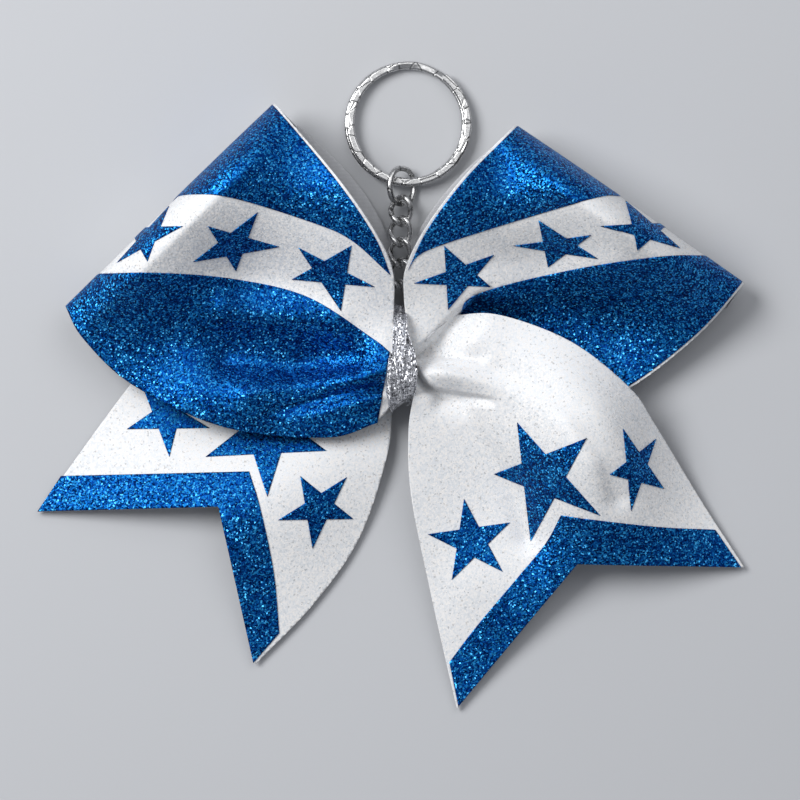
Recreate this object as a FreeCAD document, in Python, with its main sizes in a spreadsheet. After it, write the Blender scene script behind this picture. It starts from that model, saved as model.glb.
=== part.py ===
import FreeCAD, Part
import math
import os

# A bow charm lying on its back: X to the right, Y towards the key ring, Z up from the table.
# The origin is the middle of the knot's flat back. All lengths are in millimetres.

os.makedirs("parts", exist_ok=True)
doc = FreeCAD.newDocument("bow_charm")

# Driving dimensions ---------------------------------------------------------

SIZES = {
    "ribbon_thick": 0.5,  # woven ribbon with its white glitter coat
    "film_thick": 0.2,  # blue glitter film pressed onto the ribbon
    "film_gap": 0.02,  # clearance that keeps film and ribbon two solids
    "turn_half_width": 6.0,  # how far a loop's end bulges past its crest
    "knot_width": 8.4,  # tie ribbon, outside, along X
    "knot_height": 14.2,  # tie ribbon, outside, along Z
    "knot_length": 18.5,  # tie ribbon, outside, along Y
    "tie_thick": 0.4,
    "core_width": 2.2,  # sewn core that holds the four gathers
    "core_length": 15.0,
    "core_height": 11.6,
    "strap_width": 1.6,  # the tie ribbon where it passes the end ring
    "curb_wire": 1.1,
    "curb_width": 5.0,
    "end_width": 5.0,
    "ring_wire": 1.15,
    "jump_length": 8.2,
    "jump_width": 8.0,
    "split_outside": 25.3,
    "split_wide": 1.6,  # the split ring's flat wire, across its band
    "split_thick": 0.9,
    "split_pitch": 1.0,  # axial step between its two turns
}

sheet = doc.addObject("Spreadsheet::Sheet", "Sizes")
for row, (name, value) in enumerate(SIZES.items(), start=1):
    sheet.set(f"A{row}", name)
    sheet.set(f"B{row}", str(value))
    sheet.setAlias(f"B{row}", name)
doc.recompute()


def size(name):
    return float(sheet.get(name))


# Ribbon surfaces ------------------------------------------------------------


def solve(rows, values):
    """Solves a small linear system by elimination with row swaps."""
    table = [list(row) + [value] for row, value in zip(rows, values)]
    count = len(table)
    for i in range(count):
        best = max(range(i, count), key=lambda k: abs(table[k][i]))
        table[i], table[best] = table[best], table[i]
        for k in range(i + 1, count):
            factor = table[k][i] / table[i][i]
            table[k] = [a - factor * b for a, b in zip(table[k], table[i])]
    found = [0.0] * count
    for i in reversed(range(count)):
        rest = sum(table[i][k] * found[k] for k in range(i + 1, count))
        found[i] = (table[i][count] - rest) / table[i][i]
    return found


def height_field(spots):
    """A smooth height z(x, y) through spot heights (x, y, z): a thin plate bent over them."""

    def terms(x, y):
        squares = [(x - spot[0]) ** 2 + (y - spot[1]) ** 2 + 1e-12 for spot in spots]
        return [square * math.log(square) for square in squares] + [1.0, x, y]

    rows = [terms(x, y) for x, y, z in spots]
    for row in list(zip(*rows))[-3:]:
        rows.append(list(row) + [0.0, 0.0, 0.0])
    weights = solve(rows, [z for x, y, z in spots] + [0.0, 0.0, 0.0])

    def height(point):
        return sum(w * t for w, t in zip(weights, terms(point.x, point.y)))

    return height


def flat(x, y):
    return FreeCAD.Vector(x, y, 0)


def spread(start, end, count):
    """Evenly spaced values from start to end."""
    return [start + (end - start) * i / (count - 1) for i in range(count)]


class Run:
    """A run of ribbon seen from above: `along` its far end and `out` from the knot."""

    def __init__(self, far_end, front, back=None):
        first, last = (flat(*corner) for corner in far_end)
        self.along = (last - first).normalize()
        self.out = flat(-self.along.y, self.along.x)
        if self.out.dot(first) < 0:
            self.out = -self.out
        self.reach = self.out.dot(first)
        self.front = height_field(front)
        self.back = height_field(back) if back else None
        self.bulge = size("turn_half_width") if back else 0.0

    def place(self, across, travel):
        """A point on the outer face. Travel runs out to the crest, round the turn and back."""
        crest = self.reach - self.bulge
        turn = travel - crest
        arc = math.pi * self.bulge
        if turn <= 0 or not self.back:
            point = self.along * across + self.out * travel
            return point + FreeCAD.Vector(0, 0, self.front(point))
        if turn >= arc:
            point = self.along * across + self.out * (crest - (turn - arc))
            return point + FreeCAD.Vector(0, 0, self.back(point))
        point = self.along * across + self.out * crest
        top, bottom = self.front(point), self.back(point)
        angle = turn / self.bulge
        point += self.out * (self.bulge * math.sin(angle))
        point.z = (top + bottom) / 2 + (top - bottom) / 2 * math.cos(angle)
        return point

    def lifted(self, across, travel, lift):
        """The same point moved off the outer face by lift, negative into the ribbon."""
        step = 0.05
        sideways = self.place(across + step, travel) - self.place(across - step, travel)
        outwards = self.place(across, travel + step) - self.place(across, travel - step)
        normal = sideways.cross(outwards).normalize()
        if self.along.cross(self.out).z < 0:
            normal = -normal
        return self.place(across, travel) + normal * lift


def skin(grid):
    """A smooth face steered by a grid of points. A grid of two rows gives a ruled face."""
    degrees, knots, repeats = [], [], []
    for count in (len(grid), len(grid[0])):
        degree = min(3, count - 1)
        degrees.append(degree)
        knots.append(list(range(count - degree + 1)))
        repeats.append([degree + 1] + [1] * (count - degree - 1) + [degree + 1])
    surface = Part.BSplineSurface()
    surface.buildFromPolesMultsKnots(grid, *repeats, *knots, False, False, *degrees)
    return surface.toShape()


def slab(run, acrosses, travels, low, high):
    """The closed solid between two lifts of a run's outer face."""
    below, above = (
        [[run.lifted(a, t, lift) for t in travels] for a in acrosses] for lift in (low, high)
    )
    walls = [[below[i], above[i]] for i in (0, -1)]
    walls += [[[row[i] for row in below], [row[i] for row in above]] for i in (0, -1)]
    shell = Part.makeShell([skin(grid) for grid in [below, above] + walls])
    shell.sewShape()
    solid = Part.Solid(shell)
    if solid.Volume < 0:
        solid.reverse()
    return solid


def travels_of(run, near):
    """Stations along a run, closer together where it turns, back to the knot if it does."""
    if not run.bulge:
        return spread(near, run.reach + 3, 18)
    crest = run.reach - run.bulge
    arc = math.pi * run.bulge
    front, turn = spread(near, crest, 18), spread(crest, crest + arc, 9)[1:]
    return front + turn + spread(crest + arc, 2 * crest + arc - near, 12)[1:]


def closed_wire(sides):
    """A closed wire at z = 0 whose sides are straight (two points) or smooth curves."""
    edges = []
    for side in sides:
        points = [FreeCAD.Vector(x, y, 0) for x, y in side]
        if len(points) == 2:
            edges.append(Part.makeLine(*points))
        else:
            curve = Part.BSplineCurve()
            curve.interpolate(points)
            edges.append(curve.toShape())
    return Part.Wire(edges)


def prism(name, sides, low, high):
    """A plan outline extruded from low to high."""
    outline = doc.addObject("Part::Feature", f"{name}_outline")
    outline.Shape = closed_wire(sides)
    outline.Placement.Base.z = low
    block = doc.addObject("Part::Extrusion", f"{name}_prism")
    block.Base = outline
    block.Dir = FreeCAD.Vector(0, 0, 1)
    block.LengthFwd = high - low
    block.Solid = True
    return block


def polygon(points):
    return [[a, b] for a, b in zip(points, points[1:] + points[:1])]


def feature(name, shape):
    made = doc.addObject("Part::Feature", name)
    made.Shape = shape
    return made


def common(name, *shapes):
    both = doc.addObject("Part::MultiCommon", name)
    both.Shapes = list(shapes)
    return both


def star(tips):
    """A five-pointed star: its inner corners are where lines between the tips cross."""

    def crossing(a, b, c, d):
        line, other = flat(*b) - flat(*a), flat(*d) - flat(*c)
        part_way = (flat(*c) - flat(*a)).cross(other).z / line.cross(other).z
        corner = flat(*a) + line * part_way
        return corner.x, corner.y

    points = []
    for i in range(5):
        before, here, after, beyond = (tips[(i + k) % 5] for k in (-1, 0, 1, 2))
        points += [here, crossing(before, after, here, beyond)]
    return polygon(points)


nodes = []


def finish(made, name):
    made.Label = name
    nodes.append((name, made))
    return made


# Left loop ------------------------------------------------------------------

KNOT_X = 1.3  # the gathers meet the sewn core here
SPLIT_Z = 5.0  # a loop's front layer is above this height and its back layer below

LEFT_FOLD = [(-24.8, 50.8), (-65.9, 11.0)]
LEFT_FRONT = [
    (-20.6, 46.5, 20), (-31, 36.5, 27), (-41, 26.5, 25), (-51.5, 16.5, 18), (-61.7, 6.7, 9),
    (-12, 35.5, 25), (-8, 30, 25), (-4.6, 24.6, 23), (-1.5, 17, 18), (-1.3, 8, 11.5),
    (-32.5, 23, 17.5), (-13.5, 17, 14), (-32, 15, 9), (-20, 12, 8.5), (-30, 6, 6.2),
    (-15, 3, 7), (-45, 4, 6.8), (-30, -6.7, 11), (-9.5, -3.6, 11), (-25, -10, 9.5),
    (-27, -13.9, 8), (-47, -8, 7), (-57, 0, 7), (-10, -13.9, 8), (-1.3, -8, 8.5), (-1.3, -2, 10.5),
]
LEFT_BACK = [
    (-20.6, 46.5, 2.0), (-41, 26.5, 1.2), (-61.7, 6.7, 1.6), (-8, 30, 1.8), (-1.5, 17, 2.0),
    (-1.3, 8, 3.6), (-1.3, -5, 3.8), (-30, 15, 1.8), (-30, 0, 3.6), (-20, -5, 4.0), (-50, 0, 3.3),
    (-10, -13, 3.4), (-35, -12, 3.4),
]
LEFT_UPPER = [(-24.8, 50.8), (-12.1, 35.6), (-4.6, 24.6), (-1.4, 17), (-KNOT_X, 8)]
LEFT_UPPER_BACK = [(-24.8, 50.8), (-11.0, 38), (-4.0, 28), (-1.2, 19), (-KNOT_X, 8)]
LEFT_LOWER = [
    (-KNOT_X, -8), (-4.6, -11.9), (-14.7, -14.8), (-34.8, -12.7), (-52.5, -4.6), (-62.2, 4.4),
    (-65.9, 11.0),
]
LEFT_LOWER_BACK = [(-KNOT_X, -5), (-20, -5), (-40, -3), (-54, 1.5), (-65.9, 11.0)]

# Right loop -----------------------------------------------------------------

RIGHT_FOLD = [(22.8, 46.5), (68.3, 15.2)]
RIGHT_FRONT = [
    (19.4, 41.6, 20), (31, 33.5, 28), (42, 26, 27), (53, 18.5, 20), (64.9, 10.3, 9),
    (12.7, 36.2, 25), (8.7, 31.3, 25), (5.1, 26.1, 23), (1.5, 19, 18), (0.9, 11.5, 13),
    (KNOT_X, 7.5, 11), (11.6, 16.4, 15), (31, 22.7, 17), (11, 9.5, 9.5), (29, 16.5, 8.5),
    (44, 19.6, 19), (30, 9, 6.4), (18, 3, 6.4), (45, 8, 7.5), (56, 2, 6.6),
    (46.5, -5, 6.2), (34, -10, 5.8), (20, -12, 5.8), (12, -5, 6.0), (KNOT_X, -8, 7), (KNOT_X, 0, 9),
]
RIGHT_BACK = [
    (19.4, 41.6, 2.0), (42, 26, 1.2), (64.9, 10.3, 1.2), (8.7, 31.3, 1.8), (1.5, 19, 2.0),
    (KNOT_X, 8, 3.8), (KNOT_X, -8, 3.8), (30, 10, 1.2), (30, -8, 1.2), (50, 2, 1.2),
]
RIGHT_UPPER = [
    (22.8, 46.5), (12.7, 36.2), (5.1, 26.1), (1.1, 18), (0.8, 12.5), (KNOT_X, 7.5),
]
RIGHT_UPPER_BACK = [(22.8, 46.5), (11.9, 36.6), (4.6, 27.2), (1.1, 18), (KNOT_X, 7.5)]
RIGHT_LOWER = [
    (KNOT_X, -8), (8, -12), (20, -13.5), (34, -11), (46.5, -5), (59.2, 5), (68.3, 15.2),
]

# Left tail, which lies under the left loop ------------------------------------

LEFT_TIPS = [(-72.1, -30.1), (-29.7, -60.8)]
LEFT_NOTCH = (-36, -29.1)
LEFT_TAIL_FRONT = [
    (-KNOT_X, -3, 1.6), (-1.6, -10, 2.4), (-2.6, -19, 3), (-4.6, -27, 2.2), (-8, -35, 1.4),
    (-17, -48.5, 1.2), (-29.7, -60.8, 1.2), (-15, -16, 4.4), (-24, -24, 7), (-33, -31, 7.5),
    (-16.3, -29.3, 5.3), (-27, -40, 5), (-36, -20, 5.2), (-46, -11.5, 2.8), (-53, -4.2, 1.3),
    (-63, -17, 1.4), (-72, -30, 1.2), (-55, -28, 4), (-30, 0, 1.4), (-12, 3, 1.5), (-20, -6, 1.6),
    (-34, -8, 1.8), (-24, -12, 2.4),
]
LEFT_TAIL_EDGE_A = [(-KNOT_X, 3), (-12, 5), (-30, 6), (-45, 3), (-53.1, -4.2), (-72.1, -30.1)]
LEFT_TAIL_EDGE_B = [
    (-28.7, -60.4), (-17.2, -48.5), (-8.1, -35.4), (-2.6, -19.2), (-1.6, -10.1), (-KNOT_X, -6),
]

# Right tail, which lies over the right loop -----------------------------------

RIGHT_TIPS = [(11.3, -69.3), (68.5, -41.2)]
RIGHT_NOTCH = (35.2, -40.4)
RIGHT_TAIL_FRONT = [
    (9.9, 8.9, 13), (19.8, 8.9, 12), (27, 6.9, 12), (33.9, 3.6, 12.5), (39.4, -0.4, 12.5),
    (45.5, -5.5, 10.5), (50.5, -12.6, 7), (55, -19.8, 4), (60, -28, 2), (68.5, -41.2, 1.2),
    (22, 0, 13), (30, -5, 16), (36, -12, 18.5), (40, -20, 18), (42, -28, 14), (43, -40.4, 8),
    (12.7, -11.5, 9.5), (18.2, -19.2, 8), (22.8, -26, 7), (25.5, -35, 6), (35.2, -40.4, 8),
    (3.3, -4.2, 11.5), (1.6, -17, 9), (2.2, -27, 7.5), (3.8, -35, 6), (6, -46, 4),
    (11.3, -69.3, 1.2), (14, -45, 5), (20, -56, 3), (3.2, 1, 12.5),
]
RIGHT_TAIL_EDGE_A = [
    (3.0, -5.5), (1.7, -14), (2.2, -26.9), (6, -45.9), (9.1, -59.8), (11.3, -69.3),
]
RIGHT_TAIL_EDGE_B = [
    (68.5, -41.2), (60, -28.1), (50.5, -12.6), (45.5, -5.5), (33.9, 3.6), (19.8, 8.9), (9.9, 8.9),
]

# Ribbon solids --------------------------------------------------------------

SKY = 45.0  # above everything
RIM = 0.5  # plain woven edge that the blue film leaves free


def inset(points, amount):
    """The same curve moved to the left of its direction by amount."""
    moved = []
    for i, point in enumerate(points):
        before, after = points[max(i - 1, 0)], points[min(i + 1, len(points) - 1)]
        step = (flat(*after) - flat(*before)).normalize()
        moved.append((point[0] - amount * step.y, point[1] + amount * step.x))
    return moved


def past(run, point, amount=1.5):
    """A plan point moved outwards, beyond the end of its run."""
    moved = flat(*point) + run.out * amount
    return moved.x, moved.y


def stations(run, outlines):
    """Where a slab that covers the outlines is sampled, across and along the run."""
    points = [flat(*point) for outline in outlines for point in outline]
    acrosses = [run.along.dot(point) for point in points]
    near = min(run.out.dot(point) for point in points) - 1.5
    return spread(min(acrosses) - 1.5, max(acrosses) + 1.5, 17), travels_of(run, near)


def loop_outline(run, upper, lower):
    far = [upper[0], past(run, upper[0]), past(run, lower[-1]), lower[-1]]
    ends = [[lower[-1], far[2]], [far[2], far[1]], [far[1], upper[0]]]
    return [upper, [upper[-1], lower[0]], lower] + ends


def loop(name, run, upper, lower, upper_back, lower_back):
    """One ribbon: front layer, round turn and back layer, trimmed to its long edges."""
    grid = stations(run, [upper, lower, upper_back, lower_back])
    body = feature(f"{name}_slab", slab(run, *grid, -size("ribbon_thick"), 0.0))
    front = prism(f"{name}_front", loop_outline(run, upper, lower), SPLIT_Z, SKY)
    back = prism(f"{name}_back", loop_outline(run, upper_back, lower_back), -5.0, SPLIT_Z)
    trim = doc.addObject("Part::MultiFuse", f"{name}_trim")
    trim.Shapes = [front, back]
    return finish(common(f"{name}_cut", body, trim), name)


def film_layer(name, run, outlines):
    """A sheet of film over the whole run, to be cut into stripes and stars."""
    low = size("film_gap")
    high = low + size("film_thick")
    return feature(f"{name}_layer", slab(run, *stations(run, outlines), low, high))


def film(name, layer, sides, floor=0.0):
    """A shape cut out of a film layer, above floor."""
    return finish(common(f"{name}_cut", layer, prism(name, sides, floor, SKY)), name)


def tail(name, run, edge_a, edge_b, cut):
    grid = stations(run, [edge_a, edge_b])
    body = feature(f"{name}_slab", slab(run, *grid, -size("ribbon_thick"), 0.0))
    sides = [edge_a, [edge_a[-1], cut], [cut, edge_b[0]], edge_b, [edge_b[-1], edge_a[0]]]
    return finish(common(f"{name}_cut", body, prism(name, sides, -5.0, SKY)), name)


left_run = Run(LEFT_FOLD, LEFT_FRONT, LEFT_BACK)
right_run = Run(RIGHT_FOLD, RIGHT_FRONT, RIGHT_BACK)
left_tail_run = Run(LEFT_TIPS, LEFT_TAIL_FRONT)
right_tail_run = Run(RIGHT_TIPS, RIGHT_TAIL_FRONT)

loop("left_loop", left_run, LEFT_UPPER, LEFT_LOWER, LEFT_UPPER_BACK, LEFT_LOWER_BACK)
loop("right_loop", right_run, RIGHT_UPPER, RIGHT_LOWER, RIGHT_UPPER_BACK, RIGHT_LOWER)
tail("left_tail", left_tail_run, LEFT_TAIL_EDGE_A, LEFT_TAIL_EDGE_B, LEFT_NOTCH)
tail("right_tail", right_tail_run, RIGHT_TAIL_EDGE_A, RIGHT_TAIL_EDGE_B, RIGHT_NOTCH)

# Blue glitter film: stripes and stars -----------------------------------------

LEFT_BAND_TOP = [(-45.6, 32), (-40.6, 32.5), (-32.3, 31.7), (-17.2, 27.1), (-9.5, 23.6), (-2.2, 17)]
LEFT_BAND_LOW = [(-60.8, 17), (-47.5, 17.2), (-32.3, 16), (-18.2, 12.5), (-5.5, 4.4), (-2, 1.6)]
RIGHT_BAND_TOP = [(1.6, 18.8), (3.6, 20.6), (8.7, 22.9), (23.8, 27.7), (39, 31.9), (43.5, 32.3)]
RIGHT_BAND_LOW = [
    (3, 1), (6.5, 4.4), (10.8, 9.0), (13.5, 12.1), (21.4, 15), (36.4, 18.3), (51.7, 20.4), (60.7, 20.6),
]

LEFT_LOOP_STARS = [
    [(-45.5, 30.3), (-42.6, 26.3), (-49.7, 19.4), (-55.8, 19.2), (-53.5, 26)],
    [(-28, 29.1), (-23.8, 22.4), (-32.5, 17.6), (-40.8, 19.4), (-37.8, 26.3)],
    [(-9.5, 22.6), (-5, 14.5), (-11.7, 9.7), (-21.4, 16), (-20, 22.2)],
]
RIGHT_LOOP_STARS = [
    [(8.7, 22.5), (18.5, 20.8), (17.9, 14.5), (9.5, 10.0), (2.8, 15.2)],
    [(27.3, 27.5), (37.6, 24.6), (39, 20), (29.3, 18.4), (22.4, 22.6)],
    [(44.4, 31.3), (53.2, 27), (55.2, 22), (46.7, 21.6), (39.4, 26.3)],
]
LEFT_TAIL_STARS = [
    [(-51.1, -5.5), (-42.4, -5.5), (-37.8, -13.5), (-45.8, -19.2), (-54.3, -13.7)],
    [(-26.3, -27.1), (-38.6, -19.2), (-34, -3.8), (-19, -3.8), (-14.6, -18)],
    [(-19.8, -23), (-10.6, -23.2), (-9.3, -31.5), (-17.4, -37.4), (-24.2, -31.7)],
]
RIGHT_TAIL_STARS = [
    [(12.7, -27.5), (21.8, -32.2), (20.4, -42), (10.3, -43.6), (5.5, -34.5)],
    [(23.2, -12.3), (36.8, -15.4), (39.6, -30.7), (26, -36), (18.6, -22.6)],
    [(44, -13.6), (50.7, -15.6), (52.3, -25.5), (45.7, -29.9), (41.4, -22.6)],
]


def stripes(side, run, layer, upper, band_top, band_low, lower):
    """The two stripes of a loop, above and below its band of stars."""
    top = [upper, (band_top[:-1] + [upper[-1]])[::-1]]
    top += [[band_top[0], past(run, band_top[0])]]
    top += [[past(run, band_top[0]), past(run, upper[0])], [past(run, upper[0]), upper[0]]]
    film(f"{side}_loop_top_stripe", layer, top, SPLIT_Z)
    low = [band_low, [band_low[-1], lower[0]], lower, [lower[-1], past(run, lower[-1])]]
    low += [[past(run, lower[-1]), past(run, band_low[0])], [past(run, band_low[0]), band_low[0]]]
    film(f"{side}_loop_bottom_stripe", layer, low, SPLIT_Z)


def stars(where, layer, outlines, floor=0.0):
    for number, tips in enumerate(outlines, start=1):
        film(f"{where}_star_{number}", layer, star(tips), floor)


left_layer = film_layer(
    "left_loop", left_run, [LEFT_UPPER, LEFT_LOWER, LEFT_UPPER_BACK, LEFT_LOWER_BACK]
)
left_upper = inset(LEFT_UPPER[:4], -RIM)
left_lower = inset(LEFT_LOWER[1:], RIM)
stripes("left", left_run, left_layer, left_upper, LEFT_BAND_TOP, LEFT_BAND_LOW, left_lower)
stars("left_loop", left_layer, LEFT_LOOP_STARS, SPLIT_Z)

right_layer = film_layer("right_loop", right_run, [RIGHT_UPPER, RIGHT_LOWER, RIGHT_UPPER_BACK])
right_upper = inset(RIGHT_UPPER[:4], RIM)
right_lower = inset(RIGHT_LOWER[1:], RIM)
stripes(
    "right", right_run, right_layer, right_upper,
    RIGHT_BAND_TOP[::-1], RIGHT_BAND_LOW[::-1], right_lower,
)
stars("right_loop", right_layer, RIGHT_LOOP_STARS, SPLIT_Z)

# Each tail ends in a band that follows its V cut.
LEFT_TAIL_BAND = [
    [(-72.1, -30.1), (-67.4, -23)],
    [(-67.4, -23), (-29.9, -22.1)],
    [(-29.9, -22.1), (-27.7, -29.3), (-25.1, -42), (-24.0, -54.2)],
    [(-24.0, -54.2), (-29.2, -60.2)],
    [(-29.2, -60.2), LEFT_NOTCH],
    [LEFT_NOTCH, (-72.1, -30.1)],
]
RIGHT_TAIL_BAND = [
    [(11.6, -68.9), (9.8, -60)],
    [(9.8, -60), (15.4, -52.6), (23.8, -42.6), (28.9, -36.4), (31.9, -30.7)],
    [(31.9, -30.7), (37.7, -31.5), (51.7, -33.1), (62.6, -33.7)],
    [(62.6, -33.7), (67.8, -41.2)],
    [(67.8, -41.2), RIGHT_NOTCH],
    [RIGHT_NOTCH, (11.6, -68.9)],
]
for side, run, edges, band, outlines in [
    ("left", left_tail_run, [LEFT_TAIL_EDGE_A, LEFT_TAIL_EDGE_B], LEFT_TAIL_BAND, LEFT_TAIL_STARS),
    (
        "right", right_tail_run, [RIGHT_TAIL_EDGE_A, RIGHT_TAIL_EDGE_B],
        RIGHT_TAIL_BAND, RIGHT_TAIL_STARS,
    ),
]:
    layer = film_layer(f"{side}_tail", run, edges)
    film(f"{side}_tail_band", layer, band)
    stars(f"{side}_tail", layer, outlines)

# Knot -----------------------------------------------------------------------

# The sewn core: thread and crushed ribbon where the four gathers meet.
core = doc.addObject("Part::Box", "core")
core.setExpression("Length", "Sizes.core_width")
core.setExpression("Width", "Sizes.core_length")
core.setExpression("Height", "Sizes.core_height")
core.Placement.Base = FreeCAD.Vector(-size("core_width") / 2, -size("core_length") / 2, 1.2)
finish(core, "gather_core")

LUG = FreeCAD.Vector(0, 9.6, 8.0)  # where the tie ribbon folds round the end ring
LUG_HOLE, LUG_OUTSIDE = 1.0, 1.45


def band_block(name, shrink):
    """A block the size of the wrapped knot, shrunk to leave the tie ribbon's thickness."""
    block = doc.addObject("Part::Box", name)
    block.setExpression("Length", f"Sizes.knot_width + {1 if shrink else 0}")
    block.setExpression("Width", f"Sizes.knot_length - {2 * shrink} * Sizes.tie_thick")
    block.setExpression("Height", f"Sizes.knot_height - {2 * shrink} * Sizes.tie_thick")
    block.setExpression("Placement.Base.x", "-Length / 2")
    block.setExpression("Placement.Base.y", "-Width / 2 - 0.5 mm")
    block.setExpression("Placement.Base.z", f"{shrink} * Sizes.tie_thick * 1 mm")
    return block


def rounded(name, block, radius):
    """The block with its four edges along X rounded."""
    fillet = doc.addObject("Part::Fillet", name)
    fillet.Base = block
    doc.recompute()
    along_x = [
        (i, radius, radius)
        for i, edge in enumerate(block.Shape.Edges, start=1)
        if abs(edge.tangentAt(0).x) > 0.99
    ]
    fillet.Edges = along_x
    return fillet


def barrel(name, radius, width):
    made = doc.addObject("Part::Cylinder", name)
    made.Radius = radius
    made.Height = width
    made.Placement = FreeCAD.Placement(
        LUG - FreeCAD.Vector(width / 2, 0, 0), FreeCAD.Rotation(FreeCAD.Vector(0, 1, 0), 90)
    )
    return made


outside = rounded("tie_outside", band_block("tie_outside_block", 0), 2.2)
inside = rounded("tie_inside", band_block("tie_inside_block", 1), 1.8)
with_lug = doc.addObject("Part::MultiFuse", "tie_with_lug")
with_lug.Shapes = [outside, barrel("lug_outside", LUG_OUTSIDE, size("strap_width"))]
wrap = doc.addObject("Part::Cut", "tie_wrap")
wrap.Base = with_lug
wrap.Tool = inside
bored = doc.addObject("Part::Cut", "tie_bored")
bored.Base = wrap
bored.Tool = barrel("lug_hole", LUG_HOLE, size("strap_width") + 2)
# Seen from the front the band is widest low on the knot and narrow where it passes the ribbons.
half_wide, half_narrow = size("knot_width") / 2, 1.15
taper = [(half_narrow, -12), (half_narrow, -9), (half_wide, -7), (half_wide, -5)]
taper += [(half_narrow, 8), (half_narrow, 12)]
taper += [(-x, y) for x, y in reversed(taper)]
finish(common("tie_cut", bored, prism("tie", polygon(taper), -1, SKY)), "tie_ribbon")

# Chain ----------------------------------------------------------------------


def swept(curve, start, end, section):
    """A wire's section, placed at the start, carried along a stretch of a curve."""
    return Part.Wire(curve.toShape(start, end)).makePipeShell([section], True, True)


def round_section(curve, start, wire):
    heading = FreeCAD.Vector(*curve.tangent(start)[0])
    return Part.Wire(Part.makeCircle(wire / 2, curve.value(start), heading))


def flat_section(wide, thick):
    """Flat wire with round sides, its width along X and its thickness along Y."""
    half, edge = (wide - thick) / 2, thick / 2
    corners = [flat(half, -edge), flat(half, edge), flat(-half, edge), flat(-half, -edge)]
    right = Part.Arc(corners[0], flat(wide / 2, 0), corners[1])
    left = Part.Arc(corners[2], flat(-wide / 2, 0), corners[3])
    flats = [Part.makeLine(corners[1], corners[2]), Part.makeLine(corners[3], corners[0])]
    return Part.Wire([right.toShape(), flats[0], left.toShape(), flats[1]])


def oval_wire(name, length, width, wire, twist_start, twist_end):
    """A closed wire link along Y. Its plane turns from twist_start to twist_end, in degrees."""
    points = []
    side = (width - wire) / 2
    reach = (length - wire) / 2
    for i in range(28):
        angle = 2 * math.pi * i / 28
        y = -reach * math.cos(angle)
        x = side * math.copysign(abs(math.sin(angle)) ** 0.8, math.sin(angle))
        part_way = (y / reach + 1) / 2
        twist = math.radians(twist_start + (twist_end - twist_start) * part_way)
        points.append(FreeCAD.Vector(x * math.cos(twist), y, -x * math.sin(twist)))
    curve = Part.BSplineCurve()
    curve.interpolate(points, PeriodicFlag=True)
    first, last = curve.FirstParameter, curve.LastParameter
    middle = (first + last) / 2
    halves = [
        swept(curve, start, end, round_section(curve, start, wire))
        for start, end in ((first, middle), (middle, last))
    ]
    return feature(name, halves[0].fuse(halves[1]).removeSplitter())


def between(made, start, end):
    """Puts a link that was made along Y between two points of the chain."""
    turn = FreeCAD.Rotation(FreeCAD.Vector(0, 1, 0), end - start)
    made.Placement = FreeCAD.Placement((start + end) / 2, turn)


# Where each link meets the next, from the tie ribbon out to the jump ring. Each link is twisted
# by a quarter turn, so that it meets both its neighbours squarely and lies flat between them.
MEETINGS = [
    LUG,
    FreeCAD.Vector(0, 15.0, 7.8),
    FreeCAD.Vector(0, 19.2, 6.9),
    FreeCAD.Vector(0, 23.4, 5.8),
    FreeCAD.Vector(0.1, 27.6, 4.6),
    FreeCAD.Vector(0.2, 31.8, 3.4),
]
overlap = size("curb_wire") + 0.1  # links reach past each other by a wire and a little slack

end_direction = (MEETINGS[1] - LUG).normalize()
end_start, end_end = LUG, MEETINGS[1] + end_direction * (overlap / 2)
end_length = (end_end - end_start).Length + size("curb_wire")
end_ring = oval_wire("end_ring_wire", end_length, size("end_width"), size("curb_wire"), 0, -45)
between(end_ring, end_start, end_end)
finish(end_ring, "end_ring")

for number, (start, end) in enumerate(zip(MEETINGS[1:], MEETINGS[2:]), start=1):
    direction = (end - start).normalize()
    low, high = start - direction * (overlap / 2), end + direction * (overlap / 2)
    link = oval_wire(
        f"chain_link_{number}_wire", (high - low).Length + size("curb_wire"),
        size("curb_width"), size("curb_wire"), 45, -45,
    )
    between(link, low, high)
    finish(link, f"chain_link_{number}")

JUMP_DOWN = 3.0  # degrees that the jump ring slopes down towards the key ring
JUMP_SLACK = 0.15  # it is open wider than a link, and hangs a little further in
jump = oval_wire(
    "jump_ring_wire", size("jump_length"), size("jump_width"), size("ring_wire"), 45, 45
)
jump_axis = FreeCAD.Vector(
    0.06, math.cos(math.radians(JUMP_DOWN)), -math.sin(math.radians(JUMP_DOWN))
)
jump_start = MEETINGS[-1] - jump_axis * (overlap / 2 + JUMP_SLACK)
between(jump, jump_start, jump_start + jump_axis * (size("jump_length") - size("ring_wire")))
finish(jump, "jump_ring")

# The split ring: two turns of flat wire, one on the other. Between its two ends, which leave a
# gap, the wire steps up from the lower turn to the upper one.
SPLIT_CENTRE = FreeCAD.Vector(1.6, 47.0, 1.9)
RING_TILT = -4.0  # degrees: the end at the chain is held up by the jump ring
STEP_ANGLE = 78.0  # degrees round the ring, from X, where the wire steps up
GAP = 0.07  # turns from the middle of the step to each end of the wire
TURN_SHIFT = 0.2  # each turn's centre stands this far to one side, as in a used ring
POINTS_PER_TURN = 40


def coil_point(turns):
    part_way = min(1, max(0, (turns - 1) / (2 * GAP) + 0.5))
    side = 2 * part_way**2 * (3 - 2 * part_way) - 1
    radius = (size("split_outside") - size("split_wide")) / 2 - TURN_SHIFT
    angle = math.radians(STEP_ANGLE) + 2 * math.pi * turns
    centre = TURN_SHIFT * side
    height = size("split_pitch") / 2 * side
    return FreeCAD.Vector(centre + radius * math.cos(angle), radius * math.sin(angle), height)


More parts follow.
